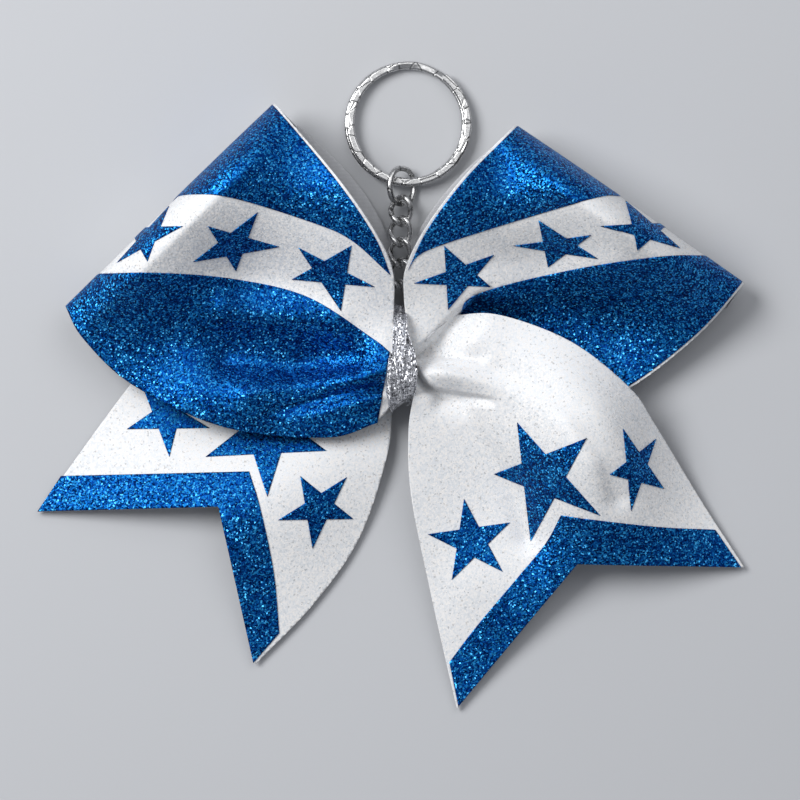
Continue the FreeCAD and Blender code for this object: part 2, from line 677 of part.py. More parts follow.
coil_steps = round((2 - 2 * GAP) * POINTS_PER_TURN)
curve = Part.BSplineCurve()
curve.interpolate([coil_point(turns) for turns in spread(GAP, 2 - GAP, coil_steps)])
start = curve.FirstParameter
radial = (curve.value(start) + FreeCAD.Vector(TURN_SHIFT, 0, size("split_pitch") / 2)).normalize()
upright = FreeCAD.Vector(0, 0, 1)
section = flat_section(size("split_wide"), size("split_thick"))
section.Placement = FreeCAD.Placement(
    curve.value(start), FreeCAD.Rotation(radial, upright, radial.cross(upright), "XYZ")
)
ring = feature("split_ring_wire", swept(curve, start, curve.LastParameter, section))
ring.Placement = FreeCAD.Placement(
    SPLIT_CENTRE, FreeCAD.Rotation(FreeCAD.Vector(1, 0, 0), RING_TILT)
)
finish(ring, "split_ring")

# Check and export -----------------------------------------------------------

doc.recompute()
for made in doc.Objects:
    if "Invalid" in made.State or "Error" in made.State:
        raise RuntimeError(f"{made.Name} is {made.State}")
for name, made in nodes:
    shape = made.Shape
    if shape.isNull() or not shape.isValid() or len(shape.Solids) != 1:
        raise RuntimeError(f"{name}: valid {shape.isValid()}, {len(shape.Solids)} solids")
    shape.exportStep(f"parts/{name}.step")
    print(f"{name:26s} {shape.Volume:9.2f} mm3")
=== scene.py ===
import math

import bpy
import numpy as np
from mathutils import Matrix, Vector, noise
from mathutils.geometry import delaunay_2d_cdt


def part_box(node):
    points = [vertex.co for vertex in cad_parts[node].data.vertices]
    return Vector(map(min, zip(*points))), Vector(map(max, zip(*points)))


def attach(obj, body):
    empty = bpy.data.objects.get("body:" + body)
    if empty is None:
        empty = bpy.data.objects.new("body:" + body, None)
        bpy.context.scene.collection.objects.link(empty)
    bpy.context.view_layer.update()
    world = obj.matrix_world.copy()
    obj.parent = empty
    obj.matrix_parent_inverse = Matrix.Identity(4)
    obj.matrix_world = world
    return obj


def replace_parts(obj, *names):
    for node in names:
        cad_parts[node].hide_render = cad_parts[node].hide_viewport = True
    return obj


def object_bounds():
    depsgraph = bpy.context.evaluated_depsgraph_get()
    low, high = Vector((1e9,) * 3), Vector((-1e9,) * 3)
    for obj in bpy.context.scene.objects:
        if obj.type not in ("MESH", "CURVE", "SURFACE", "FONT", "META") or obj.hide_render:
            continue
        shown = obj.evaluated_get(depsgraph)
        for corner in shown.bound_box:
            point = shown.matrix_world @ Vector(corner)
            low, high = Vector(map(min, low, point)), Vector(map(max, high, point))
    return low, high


# A bow charm lying on its back. Plan outlines and heights are in millimetres in the CAD frame:
# X to the right, Y towards the key ring, Z up. MM turns them into Blender's metres.

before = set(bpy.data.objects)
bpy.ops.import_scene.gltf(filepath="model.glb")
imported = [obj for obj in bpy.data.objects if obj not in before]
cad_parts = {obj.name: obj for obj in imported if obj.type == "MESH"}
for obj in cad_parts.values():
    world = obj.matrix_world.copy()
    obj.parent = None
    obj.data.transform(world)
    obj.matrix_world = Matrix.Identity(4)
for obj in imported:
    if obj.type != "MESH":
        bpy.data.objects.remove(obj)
cad_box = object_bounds()
MM = 0.001

RIBBON_THICK = 0.45
FILM_THICK = 0.14
FILM_LIFT = 0.05  # clearance between the ribbon and the film on it
MESH_STEP = 0.6  # spacing of the points that carry the cloth's shape
LOOP_STEP = 0.5  # the same on the loop that drops sharply beside the tail
FINE_STEP = 0.4  # the same on the tail with the sharpest pleats
LAYER_GAP = 1.1  # least height between the outer faces of a loop's two layers
BULGE = 6.0  # how far a loop's end stands out past its crest
RIM = 0.5  # plain woven edge beside the blue film

# Camera ---------------------------------------------------------------------

VIEW_WIDTH = 158.4  # what the picture spans at the bow's middle height
CAMERA_HEIGHT = 2000.0
LOOK_AT = (0.0, -7.9, 10.0)

camera_data = bpy.data.cameras.new("camera")
camera_data.sensor_width = 36.0
camera_data.lens = 36.0 * (CAMERA_HEIGHT - LOOK_AT[2]) / VIEW_WIDTH
camera_data.clip_start = 0.1
camera = bpy.data.objects.new("camera", camera_data)
camera.location = Vector((LOOK_AT[0], LOOK_AT[1], CAMERA_HEIGHT)) * MM
bpy.context.scene.collection.objects.link(camera)
bpy.context.scene.camera = camera

# Materials ------------------------------------------------------------------


class Shader:
    """A node material under construction, with short names for what this scene needs."""

    def __init__(self, name):
        self.material = bpy.data.materials.new(name)
        self.material.use_nodes = True
        self.nodes = self.material.node_tree.nodes
        self.links = self.material.node_tree.links
        self.surface = self.nodes["Principled BSDF"]
        self.place = self.nodes.new("ShaderNodeTexCoord").outputs["Object"]

    def set(self, **values):
        for name, value in values.items():
            self.surface.inputs[name.replace("_", " ")].default_value = value

    def link(self, output, socket):
        self.links.new(output, self.surface.inputs[socket] if isinstance(socket, str) else socket)

    def texture(self, kind, size_mm, **values):
        """A texture node whose features are size_mm across."""
        node = self.nodes.new(f"ShaderNodeTex{kind}")
        node.inputs["Scale"].default_value = 1 / (size_mm * MM)
        for name, value in values.items():
            node.inputs[name.replace("_", " ")].default_value = value
        self.links.new(self.place, node.inputs["Vector"])
        return node

    def ramp(self, value, stops, constant=False):
        """Colours at positions from 0 to 1, steered by value."""
        node = self.nodes.new("ShaderNodeValToRGB")
        node.color_ramp.interpolation = "CONSTANT" if constant else "LINEAR"
        elements = node.color_ramp.elements
        while len(elements) < len(stops):
            elements.new(0.5)
        for element, (position, colour) in zip(elements, stops):
            element.position = position
            element.color = (*colour, 1) if hasattr(colour, "__len__") else (colour,) * 3 + (1,)
        self.links.new(value, node.inputs["Fac"])
        return node.outputs["Color"]

    def math(self, operation, a, b):
        node = self.nodes.new("ShaderNodeMath")
        node.operation = operation
        for socket, value in zip(node.inputs, (a, b)):
            if isinstance(value, (int, float)):
                socket.default_value = value
            else:
                self.links.new(value, socket)
        return node.outputs["Value"]

    def mix(self, factor, a, b):
        node = self.nodes.new("ShaderNodeMix")
        node.data_type = "RGBA"
        self.links.new(factor, node.inputs["Factor"])
        for socket, value in ((node.inputs[6], a), (node.inputs[7], b)):
            if hasattr(value, "__len__"):
                socket.default_value = (*value, 1)
            else:
                self.links.new(value, socket)
        return node.outputs[2]

    def multiply(self, a, b):
        node = self.nodes.new("ShaderNodeMix")
        node.data_type = "RGBA"
        node.blend_type = "MULTIPLY"
        node.inputs["Factor"].default_value = 1.0
        self.links.new(a, node.inputs[6])
        self.links.new(b, node.inputs[7])
        return node.outputs[2]

    def separate(self, colour):
        node = self.nodes.new("ShaderNodeSeparateColor")
        self.links.new(colour, node.inputs["Color"])
        return node.outputs

    def bump(self, height, strength, distance_mm):
        node = self.nodes.new("ShaderNodeBump")
        node.inputs["Strength"].default_value = strength
        node.inputs["Distance"].default_value = distance_mm * MM
        self.links.new(height, node.inputs["Height"])
        self.link(node.outputs["Normal"], "Normal")

    def tilt_flakes(self, colour, amount):
        """Turns each flake's normal by its own random colour."""
        geometry = self.nodes.new("ShaderNodeNewGeometry")
        centred = self.nodes.new("ShaderNodeVectorMath")
        centred.operation = "SUBTRACT"
        centred.inputs[1].default_value = (0.5, 0.5, 0.5)
        self.links.new(colour, centred.inputs[0])
        scaled = self.nodes.new("ShaderNodeVectorMath")
        scaled.operation = "SCALE"
        scaled.inputs["Scale"].default_value = amount
        self.links.new(centred.outputs[0], scaled.inputs[0])
        added = self.nodes.new("ShaderNodeVectorMath")
        added.operation = "ADD"
        self.links.new(geometry.outputs["Normal"], added.inputs[0])
        self.links.new(scaled.outputs[0], added.inputs[1])
        unit = self.nodes.new("ShaderNodeVectorMath")
        unit.operation = "NORMALIZE"
        self.links.new(added.outputs[0], unit.inputs[0])
        self.link(unit.outputs[0], "Normal")


def blue_glitter():
    """Film of blue flakes: each flake has its own shade and its own tilt."""
    made = Shader("blue_glitter")
    flakes = made.texture("Voronoi", 0.27)
    red, green, _ = made.separate(flakes.outputs["Color"])[:3]
    shade = made.ramp(
        red,
        [
            (0.0, (0.0006, 0.005, 0.045)),
            (0.45, (0.0015, 0.040, 0.22)),
            (0.8, (0.007, 0.18, 0.58)),
            (1.0, (0.05, 0.50, 1.0)),
        ],
    )
    sparkle = made.ramp(green, [(0.0, 0.0), (0.95, 0.0), (0.96, 1.0)], constant=True)
    bright_flake = (0.08, 0.50, 0.95)
    made.link(made.mix(sparkle, shade, bright_flake), "Base Color")
    made.tilt_flakes(flakes.outputs["Color"], 0.6)
    made.set(Metallic=1.0, Roughness=0.52)
    return made.material


def white_glitter():
    """White ribbon under a fine clear glitter coat with faint pastel flecks."""
    made = Shader("white_glitter")
    flakes = made.texture("Voronoi", 0.3)
    red, green, _ = made.separate(flakes.outputs["Color"])[:3]
    shade = made.ramp(red, [(0.0, 0.50), (0.08, 0.76), (1.0, 0.86)])
    cool, plain_white, warm = (0.92, 0.96, 1.0), (0.98, 0.985, 1.0), (1.0, 0.97, 0.94)
    tint = made.ramp(green, [(0.0, cool), (0.5, plain_white), (1.0, warm)])
    made.link(made.multiply(shade, tint), "Base Color")
    made.tilt_flakes(flakes.outputs["Color"], 0.3)
    made.set(Roughness=0.5, Specular_IOR_Level=0.35)
    return made.material


def lame():
    """Silver metal-thread weave, crushed: painted highlights and painted shade, bright and dark
    facets in its colour that follow no pattern.
    """
    made = Shader("silver_lame")
    facets = made.texture("Voronoi", 0.2)
    red, _, blue = made.separate(facets.outputs["Color"])[:3]
    folds = made.texture("Noise", 0.9, Detail=4.0, Roughness=0.65)
    # Painted highlights and painted shade: facets and broad folds take the colour from near black to
    # bright silver, where crushed metal would catch or miss the light.
    painted_facet_glints = made.math("MULTIPLY", red, 0.55)
    painted_fold_shade = made.math("MULTIPLY", folds.outputs["Fac"], 0.6)
    painted_glints_and_shade = made.math("ADD", painted_facet_glints, painted_fold_shade)
    stops = [(0.34, (0.04, 0.04, 0.05)), (0.52, (0.40, 0.41, 0.44)), (0.7, (0.92, 0.93, 0.97))]
    made.link(made.ramp(painted_glints_and_shade, stops), "Base Color")
    made.set(Metallic=0.8, Roughness=0.3)
    made.bump(made.math("ADD", blue, folds.outputs["Fac"]), 0.9, 0.12)
    return made.material


def woven(name, colour, cross_mm, roughness):
    """A plain weave: fine ribs both ways, slightly uneven, with painted shade in the hollows between
    the ribs.
    """
    made = Shader(name)
    across = made.texture("Wave", cross_mm * 6, Distortion=0.6, Detail=1.0)
    along = made.texture("Wave", cross_mm * 7, Distortion=0.6, Detail=1.0)
    along.bands_direction = "Y"
    height = made.math("MULTIPLY", across.outputs["Fac"], along.outputs["Fac"])
    # Painted shade: the weave's hollows are coloured 0.6 times as bright as its ribs.
    dark = [channel * 0.6 for channel in colour]
    made.link(made.ramp(height, [(0.0, dark), (0.6, colour)]), "Base Color")
    made.set(Roughness=roughness)
    made.bump(height, 0.6, 0.08)
    return made.material


def plated(name, facet_mm):
    """Nickel plate with fine wear and shallow facets, parted by nicks."""
    made = Shader(name)
    wear = made.texture("Noise", 0.5, Detail=4.0)
    facets = made.texture("Voronoi", facet_mm)
    facets.feature = "DISTANCE_TO_EDGE"
    nicks = made.ramp(facets.outputs["Distance"], [(0.0, 0.0), (0.06, 1.0)])
    shade = made.ramp(wear.outputs["Fac"], [(0.3, 0.50), (0.7, 0.74)])
    made.link(made.multiply(shade, made.ramp(nicks, [(0.0, 0.35), (1.0, 1.0)])), "Base Color")
    made.link(made.ramp(wear.outputs["Fac"], [(0.3, 0.34), (0.7, 0.20)]), "Roughness")
    made.set(Metallic=1.0)
    height = made.math("ADD", made.math("MULTIPLY", wear.outputs["Fac"], 0.4), nicks)
    made.bump(height, 0.5, 0.12)
    return made.material


BLUE = blue_glitter()
WHITE = white_glitter()
WHITE_EDGE = woven("white_weave", colour=(0.72, 0.73, 0.76), cross_mm=0.12, roughness=0.7)
SILVER = lame()
THREAD = woven("white_thread", colour=(0.70, 0.70, 0.70), cross_mm=0.08, roughness=0.7)
LINK_PLATE = plated("link_plate", facet_mm=6.0)
RING_PLATE = plated("ring_plate", facet_mm=3.2)

# Ribbon surfaces ------------------------------------------------------------


def height_field(spots):
    """A smooth height over plan points, through spot heights: a thin plate bent over them."""
    known = np.array(spots, float)
    count = len(known)

    def terms(plan):
        gap = ((plan[:, None, :] - known[None, :, :2]) ** 2).sum(axis=2) + 1e-12
        return np.hstack([gap * np.log(gap), np.ones((len(plan), 1)), plan])

    rows = terms(known[:, :2])
    system = np.vstack([rows, np.hstack([rows[:, count:].T, np.zeros((3, 3))])])
    weights = np.linalg.solve(system, np.append(known[:, 2], np.zeros(3)))
    return lambda plan: terms(plan) @ weights


def pleats(lines):
    """A change of height along lines in plan: ridges where it is above zero, else valleys.

    Each line is its points, the height at its first and last point, and how far it spreads to
    its left and to its right.
    """

    def height(plan):
        total = np.zeros(len(plan))
        for points, first, last, to_left, to_right in lines:
            points = np.array(points, float)
            lengths = np.linalg.norm(np.diff(points, axis=0), axis=1)
            starts = np.append(0, np.cumsum(lengths)) / lengths.sum()
            nearest = np.full(len(plan), np.inf)
            part_way = np.zeros(len(plan))
            width = np.ones(len(plan))
            for i, (a, b) in enumerate(zip(points, points[1:])):
                part = np.clip((plan - a) @ (b - a) / lengths[i] ** 2, 0, 1)
                away = plan - a - part[:, None] * (b - a)
                gap = np.linalg.norm(away, axis=1)
                here = starts[i] + part * (starts[i + 1] - starts[i])
                cross = (b - a)[0] * away[:, 1] - (b - a)[1] * away[:, 0]
                leftness = cross / (lengths[i] * np.maximum(gap, 1e-9))
                here_width = (to_left + to_right) / 2 + leftness * (to_left - to_right) / 2
                part_way = np.where(gap < nearest, here, part_way)
                width = np.where(gap < nearest, here_width, width)
                nearest = np.minimum(gap, nearest)
            total += (first + (last - first) * part_way) * np.exp(-((nearest / width) ** 2))
        return total

    return height


class Run:
    """A run of ribbon seen from above: `along` its far end and `out` from the knot.

    A point on it is (across, travel). Travel grows outwards to the crest, and a loop's goes on
    round the turn at its end and back along the layer underneath.
    """

    def __init__(self, far_end, front, back=None, folds=None, mesh_step=MESH_STEP):
        self.mesh_step = mesh_step
        first, last = (np.array(corner, float) for corner in far_end)
        self.along = (last - first) / np.linalg.norm(last - first)
        self.out = np.array([-self.along[1], self.along[0]])
        if self.out @ first < 0:
            self.out = -self.out
        self.mirrored = self.along[0] * self.out[1] - self.along[1] * self.out[0] < 0
        self.reach = self.out @ first
        self.bulge = BULGE if back else 0.0
        self.crest = self.reach - self.bulge
        self.front_field = height_field(front)
        self.back_field = height_field(back) if back else None
        self.folds = folds

    def front(self, plan):
        height = self.front_field(plan)
        if self.folds:
            height = height + self.folds(plan)
        if self.back_field:
            height = np.maximum(height, self.back_field(plan) + LAYER_GAP)
        return height

    def plan(self, across, travel):
        return across[:, None] * self.along + travel[:, None] * self.out

    def place(self, points):
        """Positions on the outer face, in mm, for rows of (across, travel)."""
        across, travel = points[:, 0], points[:, 1]
        if self.back_field is None:
            plan = self.plan(across, travel)
            return np.column_stack([plan, self.front(plan)])
        turn = (travel - self.crest) / self.bulge
        angle = np.clip(turn, 0, math.pi)
        under = np.maximum(turn - math.pi, 0) * self.bulge
        plan = self.plan(across, np.minimum(travel, self.crest) - under)
        over = self.plan(across, self.crest + 0 * travel)
        top = self.front(np.where(turn[:, None] < 0, plan, over))
        low = self.back_field(np.where(turn[:, None] > math.pi, plan, over))
        height = (top + low) / 2 + (top - low) / 2 * np.cos(angle)
        plan = plan + (self.bulge * np.sin(angle))[:, None] * self.out
        return np.column_stack([plan, height])

    def lifted(self, points, lift):
        step = 0.05
        sideways = self.place(points + (step, 0)) - self.place(points - (step, 0))
        outwards = self.place(points + (0, step)) - self.place(points - (0, step))
        normal = np.cross(sideways, outwards)
        normal /= np.linalg.norm(normal, axis=1)[:, None]
        if self.mirrored:
            normal = -normal
        return self.place(points) + lift * normal

    def unrolled(self, outline):
        """Plan points as (across, travel) on the front, wrapped round the turn at the end."""
        plan = np.array(outline, float)
        across, travel = plan @ self.along, plan @ self.out
        if self.bulge:
            past = np.clip((travel - self.crest) / self.bulge, 0, 1)
            beyond = np.maximum(travel - self.reach, 0)
            wrapped = self.crest + self.bulge * np.arcsin(past) + beyond
            travel = np.where(travel > self.crest, wrapped, travel)
        return np.column_stack([across, travel])

    def unrolled_back(self, outline):
        """The same for the layer underneath a loop."""
        plan = np.array(outline, float)
        travel = 2 * self.crest + math.pi * self.bulge - np.minimum(plan @ self.out, self.crest)
        return np.column_stack([plan @ self.along, travel])


def smooth(points, step=0.7):
    """A smooth curve through a few points (Catmull-Rom), as closely spaced points."""
    points = np.array(points, float)
    if len(points) == 2:
        count = max(2, int(np.linalg.norm(points[1] - points[0]) / step))
        return points[0] + np.linspace(0, 1, count)[:, None] * (points[1] - points[0])
    before = np.vstack([2 * points[0] - points[1], points, 2 * points[-1] - points[-2]])
    made = []
    for a, b, c, d in zip(before, before[1:], before[2:], before[3:]):
        count = max(2, int(np.linalg.norm(c - b) / step))
        part = np.linspace(0, 1, count, endpoint=False)[:, None]
        made.append(
            b
            + 0.5 * part * (c - a)
            + part**2 * (a - 2.5 * b + 2 * c - 0.5 * d)
            + part**3 * (1.5 * (b - c) + 0.5 * (d - a))
        )
    return np.vstack(made + [points[-1:]])


def joined(sides):
    """One closed outline out of sides that meet at their ends."""
    return np.vstack([smooth(side)[:-1] for side in sides])


def polygon(points):
    return [[a, b] for a, b in zip(points, list(points[1:]) + [points[0]])]


def inset(points, amount):
    """The same curve moved to the left of its direction."""
    points = np.array(points, float)
    step = np.gradient(points, axis=0)
    step /= np.linalg.norm(step, axis=1)[:, None]
    return points + amount * np.column_stack([-step[:, 1], step[:, 0]])


def filled(outline, step):
    """Points and triangles that fill a closed outline, (across, travel) in mm."""
    low, high = outline.min(axis=0), outline.max(axis=0)
    rows = np.arange(low[1], high[1], step * 0.87)
    grid = [
        (x, y)
        for i, y in enumerate(rows)
        for x in np.arange(low[0] + (i % 2) * step / 2, high[0], step)
    ]
    count = len(outline)
    points = [Vector(point) for point in np.vstack([outline, grid])]
    edges = [(i, (i + 1) % count) for i in range(count)]
    made = delaunay_2d_cdt(points, edges, [], 1, 1e-4)
    return np.array([tuple(point) for point in made[0]]), [tuple(face) for face in made[2]]


def cloth(name, run, outline, material, lift, thick, edge_material=None):
    """A thin closed piece that follows a run of ribbon."""
    flat, faces = filled(outline, run.mesh_step)
    if run.mirrored:
        faces = [face[::-1] for face in faces]
    mesh = bpy.data.meshes.new(name)
    mesh.from_pydata((run.lifted(flat, lift + thick) * MM).tolist(), [], faces)
    mesh.materials.append(material)
    if edge_material:
        mesh.materials.append(edge_material)
    mesh.shade_smooth()
    made = bpy.data.objects.new(name, mesh)
    bpy.context.scene.collection.objects.link(made)
    solid = made.modifiers.new("thickness", "SOLIDIFY")
    solid.thickness = thick * MM
    solid.offset = -1.0
    if edge_material:
        solid.material_offset = 1
        solid.material_offset_rim = 1
    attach(made, "bow")
    return made


def star(tips):
    """A five-pointed star: its inner corners are where lines between the tips cross."""
    tips = np.array(tips, float)

    def crossing(a, b, c, d):
        line, other, gap = b - a, d - c, c - a
        part_way = (gap[0] * other[1] - gap[1] * other[0]) / (line[0] * other[1] - line[1] * other[0])
        return a + line * part_way

    points = []
    for i in range(5):
        before, here, after, beyond = (tips[(i + k) % 5] for k in (-1, 0, 1, 2))
        points += [here, crossing(before, after, here, beyond)]
    return polygon(points)


# Shapes, chosen in mm -------------------------------------------------

KNOT_X = 1.3

LEFT_FOLD = [(-24.8, 50.8), (-65.9, 11.0)]
LEFT_FRONT = [
    (-20.6, 46.5, 20), (-31, 36.5, 27), (-41, 26.5, 25), (-51.5, 16.5, 18), (-61.7, 6.7, 9),
    (-12, 35.5, 25), (-8, 30, 25), (-4.6, 24.6, 23), (-1.5, 17, 18), (-1.3, 8, 11.5),
    (-32.5, 23, 17.5), (-13.5, 17, 14), (-32, 15, 9), (-20, 12, 8.5), (-30, 6, 6.2),
    (-15, 3, 7), (-45, 4, 6.8), (-30, -6.7, 11), (-9.5, -3.6, 11), (-25, -10, 9.5),
    (-27, -13.9, 8), (-47, -8, 7), (-57, 0, 7), (-10, -13.9, 8), (-1.3, -8, 8.5), (-1.3, -2, 10.5),
]
LEFT_BACK = [
    (-20.6, 46.5, 2.0), (-41, 26.5, 1.2), (-61.7, 6.7, 1.6), (-8, 30, 1.8), (-1.5, 17, 2.0),
    (-1.3, 8, 3.6), (-1.3, -5, 3.8), (-30, 15, 1.8), (-30, 0, 3.6), (-20, -5, 4.0), (-50, 0, 3.3),
    (-10, -13, 3.4), (-35, -12, 3.4),
]
LEFT_UPPER = [(-24.8, 50.8), (-12.1, 35.6), (-4.6, 24.6), (-1.4, 17), (-KNOT_X, 8)]
LEFT_UPPER_BACK = [(-24.8, 50.8), (-11.0, 38), (-4.0, 28), (-1.2, 19), (-KNOT_X, 8)]
LEFT_LOWER = [
    (-KNOT_X, -8), (-4.6, -11.9), (-14.7, -14.8), (-34.8, -12.7), (-52.5, -4.6), (-62.2, 4.4),
    (-65.9, 11.0),
]
LEFT_LOWER_BACK = [(-KNOT_X, -5), (-20, -5), (-40, -3), (-54, 1.5), (-65.9, 11.0)]

RIGHT_FOLD = [(22.8, 46.5), (68.3, 15.2)]
RIGHT_FRONT = [
    (19.4, 41.6, 20), (31, 33.5, 28), (42, 26, 27), (53, 18.5, 20), (64.9, 10.3, 9),
    (12.7, 36.2, 25), (8.7, 31.3, 25), (5.1, 26.1, 23), (1.5, 19, 18), (0.9, 11.5, 13),
    (KNOT_X, 7.5, 11), (11.6, 16.4, 15), (31, 22.7, 17), (11, 9.5, 9.5), (29, 16.5, 8.5),
    (44, 19.6, 19), (30, 9, 6.4), (18, 3, 6.4), (45, 8, 7.5), (56, 2, 6.6),
    (46.5, -5, 6.2), (34, -10, 5.8), (20, -12, 5.8), (12, -5, 6.0), (KNOT_X, -8, 7), (KNOT_X, 0, 9),
]
RIGHT_BACK = [
    (19.4, 41.6, 2.0), (42, 26, 1.2), (64.9, 10.3, 1.2), (8.7, 31.3, 1.8), (1.5, 19, 2.0),
    (KNOT_X, 8, 3.8), (KNOT_X, -8, 3.8), (30, 10, 1.2), (30, -8, 1.2), (50, 2, 1.2),
]
RIGHT_UPPER = [
    (22.8, 46.5), (12.7, 36.2), (5.1, 26.1), (1.1, 18), (0.8, 12.5), (KNOT_X, 7.5),
]
RIGHT_UPPER_BACK = [(22.8, 46.5), (11.9, 36.6), (4.6, 27.2), (1.1, 18), (KNOT_X, 7.5)]
RIGHT_LOWER = [
    (KNOT_X, -8), (8, -12), (20, -13.5), (34, -11), (46.5, -5), (59.2, 5), (68.3, 15.2),
]

LEFT_TIPS = [(-72.1, -30.1), (-29.7, -60.8)]
LEFT_NOTCH = (-36, -29.1)
LEFT_TAIL_FRONT = [
    (-KNOT_X, -3, 1.6), (-1.6, -10, 2.4), (-2.6, -19, 3), (-4.6, -27, 2.2), (-8, -35, 1.4),
    (-17, -48.5, 1.2), (-29.7, -60.8, 1.2), (-15, -16, 4.4), (-24, -24, 7), (-33, -31, 7.5),
    (-16.3, -29.3, 5.3), (-27, -40, 5), (-36, -20, 5.2), (-46, -11.5, 2.8), (-53, -4.2, 1.3),
    (-63, -17, 1.4), (-72, -30, 1.2), (-55, -28, 4), (-30, 0, 1.4), (-12, 3, 1.5), (-20, -6, 1.6),
    (-34, -8, 1.8), (-24, -12, 2.4),
]
LEFT_TAIL_EDGE_A = [(-KNOT_X, 3), (-12, 5), (-30, 6), (-45, 3), (-53.1, -4.2), (-72.1, -30.1)]
LEFT_TAIL_EDGE_B = [
    (-28.7, -60.4), (-17.2, -48.5), (-8.1, -35.4), (-2.6, -19.2), (-1.6, -10.1), (-KNOT_X, -6),
]

RIGHT_TIPS = [(11.3, -69.3), (68.5, -41.2)]
RIGHT_NOTCH = (35.2, -40.4)
RIGHT_TAIL_FRONT = [
    (9.9, 8.9, 13), (19.8, 8.9, 12), (27, 6.9, 12), (33.9, 3.6, 12.5), (39.4, -0.4, 12.5),
    (45.5, -5.5, 10.5), (50.5, -12.6, 7), (55, -19.8, 4), (60, -28, 2), (68.5, -41.2, 1.2),
    (22, 0, 13), (30, -5, 16), (36, -12, 18.5), (40, -20, 18), (42, -28, 14), (43, -40.4, 8),
    (12.7, -11.5, 9.5), (18.2, -19.2, 8), (22.8, -26, 7), (25.5, -35, 6), (35.2, -40.4, 8),
    (3.3, -4.2, 11.5), (1.6, -17, 9), (2.2, -27, 7.5), (3.8, -35, 6), (6, -46, 4),
    (11.3, -69.3, 1.2), (14, -45, 5), (20, -56, 3), (3.2, 1, 12.5),
]
RIGHT_TAIL_EDGE_A = [
    (3.0, -5.5), (1.7, -14), (2.2, -26.9), (6, -45.9), (9.1, -59.8), (11.3, -69.3),
]
RIGHT_TAIL_EDGE_B = [
    (68.5, -41.2), (60, -28.1), (50.5, -12.6), (45.5, -5.5), (33.9, 3.6), (19.8, 8.9), (9.9, 8.9),
]

LEFT_BAND_TOP = [(-45.6, 32), (-40.6, 32.5), (-32.3, 31.7), (-17.2, 27.1), (-9.5, 23.6), (-2.2, 17)]
LEFT_BAND_LOW = [(-60.8, 17), (-47.5, 17.2), (-32.3, 16), (-18.2, 12.5), (-5.5, 4.4), (-2, 1.6)]
RIGHT_BAND_TOP = [(1.6, 18.8), (3.6, 20.6), (8.7, 22.9), (23.8, 27.7), (39, 31.9), (43.5, 32.3)]
RIGHT_BAND_LOW = [
    (4.4, -0.8), (7.8, 3.0), (11.6, 8.4), (13.6, 12.1), (21.4, 15), (36.4, 18.3), (51.7, 20.4),
    (60.7, 20.6),
]

LEFT_LOOP_STARS = [
    [(-45.5, 30.3), (-42.6, 26.3), (-49.7, 19.4), (-55.8, 19.2), (-53.5, 26)],
    [(-28, 29.1), (-23.8, 22.4), (-32.5, 17.6), (-40.8, 19.4), (-37.8, 26.3)],
    [(-9.5, 22.6), (-5, 14.5), (-11.7, 9.7), (-21.4, 16), (-20, 22.2)],
]
RIGHT_LOOP_STARS = [
    [(8.7, 22.5), (18.5, 20.8), (17.9, 14.5), (9.5, 10.0), (2.8, 15.2)],
    [(27.3, 27.5), (37.6, 24.6), (39, 20), (29.3, 18.4), (22.4, 22.6)],
    [(44.4, 31.3), (53.2, 27), (55.2, 22), (46.7, 21.6), (39.4, 26.3)],
]
LEFT_TAIL_STARS = [
    [(-51.1, -5.5), (-42.4, -5.5), (-37.8, -13.5), (-45.8, -19.2), (-54.3, -13.7)],
    [(-26.3, -27.1), (-38.6, -19.2), (-34, -3.8), (-19, -3.8), (-14.6, -18)],
    [(-19.8, -23), (-10.6, -23.2), (-9.3, -31.5), (-17.4, -37.4), (-24.2, -31.7)],
]
RIGHT_TAIL_STARS = [
    [(12.7, -27.5), (21.8, -32.2), (20.4, -42), (10.3, -43.6), (5.5, -34.5)],
    [(23.2, -12.3), (36.8, -15.4), (39.6, -30.7), (26, -36), (18.6, -22.6)],
    [(44, -13.6), (50.7, -15.6), (52.3, -25.5), (45.7, -29.9), (41.4, -22.6)],
]
LEFT_TAIL_BAND = [
    [(-72.1, -30.1), (-67.4, -23)],
    [(-67.4, -23), (-29.9, -22.1)],
    [(-29.9, -22.1), (-27.7, -29.3), (-25.1, -42), (-24.0, -54.2)],
    [(-24.0, -54.2), (-29.2, -60.2)],
    [(-29.2, -60.2), LEFT_NOTCH],
    [LEFT_NOTCH, (-72.1, -30.1)],
]
RIGHT_TAIL_BAND = [
    [(11.6, -68.9), (9.8, -60)],
    [(9.8, -60), (15.4, -52.6), (23.8, -42.6), (28.9, -36.4), (31.9, -30.7)],
    [(31.9, -30.7), (37.7, -31.5), (51.7, -33.1), (62.6, -33.7)],
    [(62.6, -33.7), (67.8, -41.2)],
    [(67.8, -41.2), RIGHT_NOTCH],
    [RIGHT_NOTCH, (11.6, -68.9)],
]

# Pleats that fade outwards from the knot, and broader swells further out.
LEFT_PLEATS = [
    ([(-34, 9.5), (-25, 9.0), (-14, 7.5)], 4.5, 3.0, 5.0, 4.0),
    ([(-34, -0.5), (-22, -1.5), (-10, 0.0)], -2.4, -2.6, 3.5, 3.0),
    ([(-42, 9), (-44, 3), (-42, -4)], 2.2, 1.6, 6.0, 13.0),
    ([(-31, -7), (-20, -5), (-9.5, -3.6), (-1, -1.5)], 0.3, 1.6, 1.8, 1.2),
    ([(-25, -10), (-15, -7.4), (-9, -5.9), (-1, -4.4)], -0.6, -2.4, 0.7, 1.6),
    ([(-18, -11), (-9, -8.6), (-1, -6.4)], 0.2, 0.8, 1.2, 1.2),
]
RIGHT_PLEATS = [
    ([(20, 14), (30, 15.5), (42, 17.5)], 3.2, 2.4, 4.5, 4.5),
    ([(2.6, 1.8), (6.0, 5.1), (10.4, 9.4), (15.5, 13.4)], 1.8, 1.2, 5.0, 0.3),
    ([(3.2, 0.2), (7.0, 3.9), (11.2, 8.4), (14.5, 11.2)], -5.0, -2.0, 0.4, 4.5),
]
